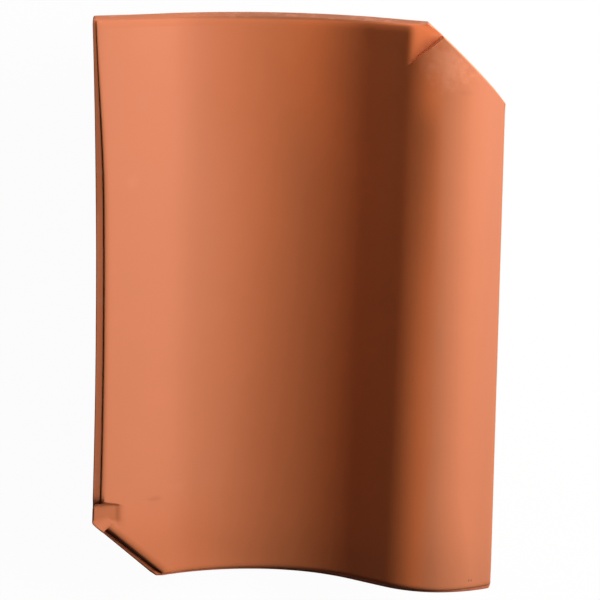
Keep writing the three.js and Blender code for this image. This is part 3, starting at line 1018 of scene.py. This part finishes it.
def make_pantile(face_clay, edge_clay, back_clay):
    """Presses the bent bat's seats, lays it as it rests on a floor and returns the finished tile."""
    bat = bent_bat()
    modifier = bat.modifiers.new("press_seats", "NODES")
    modifier.node_group = pressed_tile_tree()
    set_inputs(modifier, {
        "Head Seat Corner": HEAD_SEAT_CORNER,
        "Head Seat Toward": HEAD_SEAT_TOWARD,
        "Head Seat Wall": 1 / math.tan(HEAD_SEAT_WALL_DRAFT),
        "Head Seat Groove": 0.0010,
        "Head Seat Side Round": 0.003,
        "Foot Seat Corner": FOOT_SEAT_CORNER,
        "Foot Seat Length": FOOT_SEAT_LENGTH,
        "Foot Seat Slope": -math.tan(FOOT_SEAT_FLOOR_SLOPE),
        "Foot Seat Sink": 0.0014,
        "Foot Seat Ramp": FOOT_SEAT_RAMP_LENGTH,
        "Foot Seat Wall": 1 / math.tan(FOOT_SEAT_WALL_DRAFT),
        "Foot Seat Side Round": 0.0018,
        "Unevenness": 0.0002,
        "Seed": 4.0,
        "Face Clay": face_clay,
        "Edge Clay": edge_clay,
        "Back Clay": back_clay,
    })
    evaluated = bat.evaluated_get(bpy.context.evaluated_depsgraph_get())
    mesh = bpy.data.meshes.new_from_object(evaluated)
    bat.modifiers.remove(modifier)
    bpy.data.objects.remove(bat)

    mesh.set_sharp_from_angle(angle=SHARP_TURN)

    # It lies on its nib and on the underside of its foot.
    pitch = math.atan2(NIB_DEPTH, NIB_FRONT_Y - (FOOT_Y + LOWER_ARRIS))
    lift = -NIB_FRONT_Y * math.sin(pitch) - NIB_BOTTOM_Z * math.cos(pitch)
    mesh.transform(Matrix.Translation((0, 0, lift)) @ Matrix.Rotation(pitch, 4, "X"))
    middle = [
        (min(v.co[axis] for v in mesh.vertices) + max(v.co[axis] for v in mesh.vertices)) / 2
        for axis in (0, 1)
    ]
    low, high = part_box(TILE_NODE)
    centre = (low + high) / 2
    mesh.transform(Matrix.Translation((centre.x - middle[0], centre.y - middle[1], 0)))
    mesh.name = "clay_pantile"
    tile = bpy.data.objects.new("clay_pantile", mesh)
    bpy.context.scene.collection.objects.link(tile)
    return tile


# ---------------------------------------------------------------- materials

PLAIN_CLAY = (0.640, 0.176, 0.054, 1.0)
# A deeper red painted on the flank where it lies in shade: painted shade.
FLANK_SHADE_CLAY = (0.790, 0.200, 0.054, 1.0)
# A paler clay painted where the open sides face the lamps: painted light.
LIT_PALE_CLAY = (0.655, 0.206, 0.081, 1.0)
# Painted shade on the roll's far side and towards the foot.
ROLL_SHADE_CLAY = (0.470, 0.127, 0.037, 1.0)
# A darker roll arris, and painted shade on the end of the head.
DARK_END_CLAY = (0.330, 0.112, 0.042, 1.0)
# Painted shade in the crease of the foot's ledge, on the roll side.
CREASE_SHADE_CLAY = (0.090, 0.018, 0.004, 1.0)
TRIMMED_TINT = (1.000, 0.900, 0.860)
RUBBED_CLAY = (0.640, 0.235, 0.120, 1.0)
SANDED_CLAY = (0.600, 0.215, 0.098, 1.0)
# Painted shade inside the small pits.
PIT_SHADE_CLAY = (0.200, 0.050, 0.020, 1.0)

# Where the tones come in: each pair is the place with none of it and the place with all of it.
# These run across the tile,
PAN_LIT_END = (-0.070, -0.012)
ROLL_LIT_START = (0.072, 0.086)
FLANK_SHADE_START = (0.000, 0.036)
ROLL_SHADE_ACROSS = (0.098, 0.122)
ROLL_ARRIS = (0.1190, 0.1202)
HEAD_END_DARKENS = (-0.075, -0.020)
TROUGH_LEFT, TROUGH_RIGHT = (-0.056, -0.024), (0.006, -0.016)
CREST_LEFT, CREST_RIGHT = (0.063, 0.072), (0.086, 0.076)
CREASE_SHADE_ACROSS = (0.050, 0.085)
# these along it,
HEAD_LIT_SHIFT_START = (0.060, 0.145)
NEAR_FOOT = (-0.105, -0.165)
HEAD_END = (0.1678, 0.1694)
TROUGH_FOOTWARDS = (0.070, -0.160)
CREST_FOOTWARDS, CREST_HEADWARDS = (-0.050, 0.110), (0.130, 0.104)
SHADED_FOOT = (-0.128, -0.168)
CREASE_SHADE_ALONG = (-0.160, -0.164)
# and these down the edge, by its mark "rim".
CREASE_SHADE_BEGINS, CREASE_SHADE_ENDS = (0.10, 0.75), (1.75, 1.50)

# How far the painted light leans to the pan side at the head, and how strongly the painted shade shows.
HEAD_LIT_SHIFT = 0.018
ROLL_FOOT_SHADE = 0.35
TROUGH_GAIN, TROUGH_LEAST = 0.75, 0.15
CREST_STRENGTH = 2.2
FOOT_STRENGTH = 0.8
HEAD_END_GAIN, HEAD_END_LEAST = 0.5, 0.4


def new_material(name):
    material = bpy.data.materials.new(name)
    material.use_nodes = True
    nodes = Nodes(material.node_tree)
    shader = material.node_tree.nodes["Principled BSDF"]
    return material, nodes, shader


def tone_and_painted_light_group():
    """The clay's colour with painted light and shade: a deeper red painted on the shaded flank, paler paint
    for the light on the open sides, painted shade on the roll's far side and towards the foot, and a random
    mottle.
    """
    tree, n, given, result = new_group(
        "ShaderNodeTree", "tone_and_painted_light",
        {
            "Plain": (COLOR, PLAIN_CLAY),
            "Flank Shade": (COLOR, FLANK_SHADE_CLAY),
            "Lit Pale": (COLOR, LIT_PALE_CLAY),
            "Roll Shade": (COLOR, ROLL_SHADE_CLAY),
            "Dark Ends": (COLOR, DARK_END_CLAY),
            "Wander": (FLOAT, 0.016),
            "Mottle": (FLOAT, 0.05),
            "Painted Shade": (FLOAT, 0.10),
        },
        {"Color": COLOR},
    )
    place = n.place()
    along = n.split(place)["Y"]
    head_lit_shift = n.product(n.smooth_range(along, *HEAD_LIT_SHIFT_START), HEAD_LIT_SHIFT)
    across = n.math("ADD", n.split(place)["X"], head_lit_shift)
    drift = n.noise(n.vector("MULTIPLY", place, (1.0, 0.35, 1.0)), 16.0, 2.0)
    wandering = n.math("MULTIPLY_ADD", n.math("SUBTRACT", drift, 0.5), given["Wander"], across)
    # Painted light: the open sides, which face the lamps, are painted paler.
    pan_lit = n.rest_of(n.smooth_range(wandering, *PAN_LIT_END))
    roll_lit = n.smooth_range(n.math("SUBTRACT", wandering, head_lit_shift), *ROLL_LIT_START)
    near_foot = n.smooth_range(along, *NEAR_FOOT)
    pan_lit = n.product(pan_lit, n.rest_of(near_foot))
    # Painted shade: the flank, which lies in shade, is painted a deeper red.
    tone = n.blend(n.smooth_range(wandering, *FLANK_SHADE_START), given["Plain"], given["Flank Shade"])
    tone = n.blend(n.math("ADD", pan_lit, roll_lit), tone, given["Lit Pale"])
    right = n.split(place)["X"]
    # Painted shade on the roll's far side, and on the roll near the foot.
    roll_shade = n.product(near_foot, roll_lit, ROLL_FOOT_SHADE)
    roll_shade = n.math("MAXIMUM", n.smooth_range(right, *ROLL_SHADE_ACROSS), roll_shade)
    tone = n.blend(roll_shade, tone, given["Roll Shade"])
    # The arris of the roll side is darker, and the end of the head carries painted shade, more of it away
    # from the pan side.
    end_shade = n.smooth_range(right, *HEAD_END_DARKENS)
    end_shade = n.math("MULTIPLY_ADD", end_shade, HEAD_END_GAIN, HEAD_END_LEAST)
    end_shade = n.product(n.smooth_range(along, *HEAD_END), end_shade)
    dark_ends = n.math("MAXIMUM", n.smooth_range(right, *ROLL_ARRIS), end_shade)
    tone = n.blend(dark_ends, tone, given["Dark Ends"])
    # Painted shade along the pan's middle, growing towards the foot, beside the crest and round the foot.
    trough = n.band(wandering, TROUGH_LEFT, TROUGH_RIGHT)
    toward_foot = n.smooth_range(along, *TROUGH_FOOTWARDS)
    toward_foot = n.math("MULTIPLY_ADD", toward_foot, TROUGH_GAIN, TROUGH_LEAST)
    beside_crest = n.band(right, CREST_LEFT, CREST_RIGHT)
    toward_head = n.band(along, CREST_FOOTWARDS, CREST_HEADWARDS)
    at_foot = n.product(n.smooth_range(along, *SHADED_FOOT), FOOT_STRENGTH)
    painted_shade = n.math("MULTIPLY_ADD", trough, toward_foot, at_foot)
    painted_shade = n.math("MULTIPLY_ADD", n.product(beside_crest, toward_head), CREST_STRENGTH, painted_shade)
    painted_shade = n.product(painted_shade, given["Painted Shade"])
    clouds = n.product(n.math("SUBTRACT", n.noise(place, 38.0, 3.0), 0.5), given["Mottle"])
    n.feed(result["Color"], n.scaled(tone, n.math("SUBTRACT", n.math("ADD", clouds, 1.0), painted_shade)))
    return tree


def clay_grain_group():
    """Fine sand in the clay, faint lines dragged along the tile, and a few small pits."""
    tree, n, given, result = new_group(
        "ShaderNodeTree", "clay_grain",
        {
            "Sand": (FLOAT, 0.5),
            "Sand Scale": (FLOAT, 2600.0),
            "Drag": (FLOAT, 0.5),
            "Pit Share": (FLOAT, 0.3),
        },
        {"Height": FLOAT, "Sand": FLOAT, "Pits": FLOAT},
    )
    place = n.place()
    sand = n.noise(place, given["Sand Scale"], 2.0)
    lines = n.noise(n.vector("MULTIPLY", place, (420.0, 9.0, 420.0)), 1.0, 3.0)
    cells = n.add("ShaderNodeTexVoronoi", {"Vector": place, "Scale": 48.0})
    chosen = n.math("LESS_THAN", n.split(cells.outputs["Color"])["X"], given["Pit Share"])
    near = n.rest_of(n.smooth_range(cells.outputs["Distance"], 0.010, 0.028))
    pits = n.product(near, chosen)
    height = n.product(sand, given["Sand"])
    height = n.math("MULTIPLY_ADD", lines, given["Drag"], height)
    n.feed(result["Height"], n.math("SUBTRACT", height, n.product(pits, 2.0)))
    n.feed(result["Sand"], sand)
    n.feed(result["Pits"], pits)
    return tree


def edge_wear_and_shade_group():
    """Where the edge's clay shows its trimmed skin, where that is rubbed paler, and where painted shade lies.

    The painted shade lies in the corner of the foot's ledge, on the roll side, where its riser's shadow
    falls.
    """
    tree, n, given, result = new_group(
        "ShaderNodeTree", "edge_wear_and_shade",
        {"Raggedness": (FLOAT, 0.6), "Scale": (FLOAT, 160.0), "Crease Shade": (FLOAT, 0.8)},
        {"Trimmed": FLOAT, "Rubbed": FLOAT, "Crease Shaded": FLOAT},
    )
    down_edge = n.add("ShaderNodeAttribute", attribute_name="rim").outputs["Fac"]
    rim = n.math("MINIMUM", down_edge, 1.0)
    patches = n.noise(n.place(), given["Scale"], 4.0)
    ragged = n.math("MULTIPLY_ADD", n.math("SUBTRACT", patches, 0.5), given["Raggedness"], rim)
    n.feed(result["Trimmed"], n.product(rim, n.smooth_range(ragged, 0.35, 0.95)))
    n.feed(result["Rubbed"], n.product(rim, n.smooth_range(patches, 0.52, 0.68)))
    place = n.split(n.place())
    # Painted shade in the crease of the foot's ledge, where its riser's shadow falls.
    corner = n.band(down_edge, CREASE_SHADE_BEGINS, CREASE_SHADE_ENDS)
    roll_foot = n.product(n.smooth_range(place["X"], *CREASE_SHADE_ACROSS), n.smooth_range(place["Y"], *CREASE_SHADE_ALONG))
    n.feed(result["Crease Shaded"], n.product(corner, roll_foot, given["Crease Shade"]))
    return tree


def soft_mark_group():
    """A soft patch at a place on the tile: used for the smears and for a painted highlight."""
    tree, n, given, result = new_group(
        "ShaderNodeTree", "soft_mark",
        {"Place": (VECTOR, None), "Reach": (VECTOR, None)},
        {"Mask": FLOAT},
    )
    place = n.place()
    away = n.vector("DIVIDE", n.vector("SUBTRACT", place, given["Place"]), given["Reach"])
    ragged = n.math("SUBTRACT", n.noise(place, 260.0, 3.0), 0.5)
    distance = n.math("ADD", n.vector("LENGTH", away), ragged)
    n.feed(result["Mask"], n.rest_of(n.smooth_range(distance, 0.2, 1.0)))
    return tree


# Smears, a painted highlight on the torn clay by the head mitre, and two dark dots on the face: place, reach,
# colour and strength.
FACE_MARKS = (
    ((-0.0830, -0.1210, 0.040), (0.0060, 0.0022, 0.05), (0.480, 0.120, 0.050, 1.0), 0.40),
    ((-0.0690, -0.1150, 0.030), (0.0070, 0.0045, 0.05), (0.720, 0.240, 0.110, 1.0), 0.22),
    ((-0.0970, 0.0730, 0.050), (0.0050, 0.0060, 0.05), (0.720, 0.260, 0.130, 1.0), 0.25),
    ((0.0960, 0.1300, 0.060), (0.0060, 0.0030, 0.05), (0.480, 0.130, 0.060, 1.0), 0.20),
    # A painted highlight on the torn clay by the head mitre.
    ((0.0860, 0.1475, 0.055), (0.0210, 0.0200, 0.05), (0.850, 0.320, 0.165, 1.0), 0.65),
    ((0.1064, -0.1640, 0.040), (0.0005, 0.0011, 0.05), (0.100, 0.025, 0.010, 1.0), 1.00),
    ((0.1079, -0.1640, 0.040), (0.0005, 0.0011, 0.05), (0.100, 0.025, 0.010, 1.0), 1.00),
)


class ClayFinishes:
    """The finishes of the tile's skins, which share the tone with its painted light and shade, the grain, and
    the edge wear with its painted crease shade.
    """

    def __init__(self):
        self.tone_and_painted_light = tone_and_painted_light_group()
        self.clay_grain = clay_grain_group()
        self.edge_wear_and_shade = edge_wear_and_shade_group()
        self.soft_mark = soft_mark_group()

    def start(self, name, sand, sand_scale, drag, pit_share, mottle, raggedness):
        """A material with the shared groups placed in it, and the colour they make together."""
        material, n, shader = new_material(name)
        tone = n.group(self.tone_and_painted_light, {"Mottle": mottle})
        grain = n.group(self.clay_grain, {
            "Sand": sand, "Sand Scale": sand_scale, "Drag": drag, "Pit Share": pit_share,
        })
        wear = n.group(self.edge_wear_and_shade, {"Raggedness": raggedness})
        colour = n.blend(wear["Trimmed"], tone["Color"], n.vector("MULTIPLY", tone["Color"], TRIMMED_TINT))
        colour = n.blend(n.product(wear["Rubbed"], 0.35), colour, RUBBED_CLAY)
        # Painted shade in the crease of the foot's ledge.
        colour = n.blend(wear["Crease Shaded"], colour, CREASE_SHADE_CLAY)
        return material, n, shader, grain, colour

    def finish(self, n, shader, grain, colour, roughness, bump_distance):
        """Joins the colour, the roughness and the bump to the shader."""
        # The pits are painted dark: painted shade inside them.
        colour = n.blend(grain["Pits"], colour, PIT_SHADE_CLAY)
        n.feed(shader.inputs["Base Color"], colour)
        n.feed(shader.inputs["Roughness"], n.math("MULTIPLY_ADD", grain["Sand"], 0.12, roughness - 0.06))
        shader.inputs["Diffuse Roughness"].default_value = 0.8
        bump = n.add("ShaderNodeBump", {
            "Height": grain["Height"], "Strength": 1.0, "Distance": bump_distance,
        })
        n.feed(shader.inputs["Normal"], bump.outputs[0])

    def clay_face(self):
        """The smooth, pressed upper face, with its few smears and a painted highlight by the head mitre."""
        material, n, shader, grain, colour = self.start(
            "clay_face", sand=0.5, sand_scale=2600.0, drag=0.35, pit_share=0.12, mottle=0.05, raggedness=0.6,
        )
        for place, reach, tint, amount in FACE_MARKS:
            mark = n.group(self.soft_mark, {"Place": place, "Reach": reach})
            colour = n.blend(n.product(mark["Mask"], amount), colour, tint)
        self.finish(n, shader, grain, colour, 0.70, 0.00003)
        return material

    def clay_edge(self):
        """The trimmed edge: a little darker and coarser, rubbed paler in patches."""
        material, n, shader, grain, colour = self.start(
            "clay_edge", sand=0.8, sand_scale=1500.0, drag=0.2, pit_share=0.4, mottle=0.08, raggedness=0.8,
        )
        self.finish(n, shader, grain, colour, 0.80, 0.00008)
        return material

    def clay_back(self):
        """The underside and the nib, which keep sand from the mould."""
        material, n, shader, grain, colour = self.start(
            "clay_back", sand=1.0, sand_scale=1100.0, drag=0.6, pit_share=0.6, mottle=0.16, raggedness=1.0,
        )
        dusted = n.product(n.smooth_range(grain["Sand"], 0.42, 0.62), 0.75)
        colour = n.blend(dusted, colour, SANDED_CLAY)
        self.finish(n, shader, grain, colour, 0.86, 0.00014)
        return material


# ---------------------------------------------------------------- floor, lamps and camera

FLOOR_SIZE = 6.0


def studio_floor():
    """A plain pale floor: nearly white to the eye, and it keeps the tile's shadow."""
    mesh = bpy.data.meshes.new("floor")
    half = FLOOR_SIZE / 2
    corners = [(-half, -half, 0), (half, -half, 0), (half, half, 0), (-half, half, 0)]
    mesh.from_pydata(corners, [], [(0, 1, 2, 3)])
    floor = bpy.data.objects.new("floor", mesh)
    bpy.context.scene.collection.objects.link(floor)
    material, n, shader = new_material("pale_floor")
    shader.inputs["Base Color"].default_value = (0.80, 0.80, 0.80, 1.0)
    shader.inputs["Roughness"].default_value = 0.9
    glow = n.add("ShaderNodeEmission", {"Color": (1.0, 1.0, 1.0, 1.0), "Strength": 1.0})
    seen = n.add("ShaderNodeLightPath").outputs["Is Camera Ray"]
    mix = n.add("ShaderNodeMixShader", {"Fac": n.product(seen, 0.97)})
    n.feed(mix.inputs[1], shader.outputs[0])
    n.feed(mix.inputs[2], glow.outputs[0])
    n.feed(material.node_tree.nodes["Material Output"].inputs["Surface"], mix.outputs[0])
    mesh.materials.append(material)


LAMP_AIM = Vector((0.0, 0.0, 0.03))


def lamp(name, bearing, rise, distance, width, height, power):
    """A soft rectangular lamp that faces the tile; the bearing turns from +X to +Y."""
    toward = Vector((
        math.cos(rise) * math.cos(bearing),
        math.cos(rise) * math.sin(bearing),
        math.sin(rise),
    ))
    data = bpy.data.lights.new(name, "AREA")
    data.shape = "RECTANGLE"
    data.size = width
    data.size_y = height
    data.energy = power
    light = bpy.data.objects.new(name, data)
    light.location = LAMP_AIM + toward * distance
    light.rotation_euler = toward.to_track_quat("Z", "Y").to_euler()
    bpy.context.scene.collection.objects.link(light)


def studio_world(strength):
    world = bpy.data.worlds.new("studio")
    world.use_nodes = True
    background = world.node_tree.nodes["Background"]
    background.inputs["Color"].default_value = (1.0, 1.0, 1.0, 1.0)
    background.inputs["Strength"].default_value = strength
    bpy.context.scene.world = world


CAMERA_AIM = Vector((0.00260, 0.00211, 0.035))
CAMERA_DISTANCE = 1.6786
CAMERA_FROM_VERTICAL = math.radians(9.362)
CAMERA_BEARING = math.radians(91.092)
CAMERA_ROLL = math.radians(0.903)
CAMERA_LENS = 168.90


def make_camera():
    """Nearly overhead, leaning towards the head of the tile."""
    back = Vector((
        math.sin(CAMERA_FROM_VERTICAL) * math.cos(CAMERA_BEARING),
        math.sin(CAMERA_FROM_VERTICAL) * math.sin(CAMERA_BEARING),
        math.cos(CAMERA_FROM_VERTICAL),
    ))
    right = Vector((0, 1, 0)).cross(back).normalized()
    up = back.cross(right)
    turned_right = right * math.cos(CAMERA_ROLL) + up * math.sin(CAMERA_ROLL)
    turned_up = up * math.cos(CAMERA_ROLL) - right * math.sin(CAMERA_ROLL)
    axes = Matrix((turned_right, turned_up, back)).transposed().to_4x4()
    data = bpy.data.cameras.new("camera")
    data.lens = CAMERA_LENS
    camera = bpy.data.objects.new("camera", data)
    camera.matrix_world = Matrix.Translation(CAMERA_AIM + back * CAMERA_DISTANCE) @ axes
    bpy.context.scene.collection.objects.link(camera)
    bpy.context.scene.camera = camera


# ---------------------------------------------------------------- the scene

make_camera()
finishes = ClayFinishes()
tile = make_pantile(finishes.clay_face(), finishes.clay_edge(), finishes.clay_back())
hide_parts(TILE_NODE)
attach(tile, "root")

studio_floor()
lamp(
    "key_lamp", bearing=math.radians(31.2), rise=math.radians(29.7),
    distance=1.15, width=1.20, height=0.36, power=25.3,
)
lamp(
    "side_lamp", bearing=math.radians(-7.4), rise=math.radians(9.0),
    distance=1.70, width=0.60, height=0.30, power=17.2,
)
studio_world(strength=0.0155)
bpy.context.scene.view_settings.view_transform = "Standard"
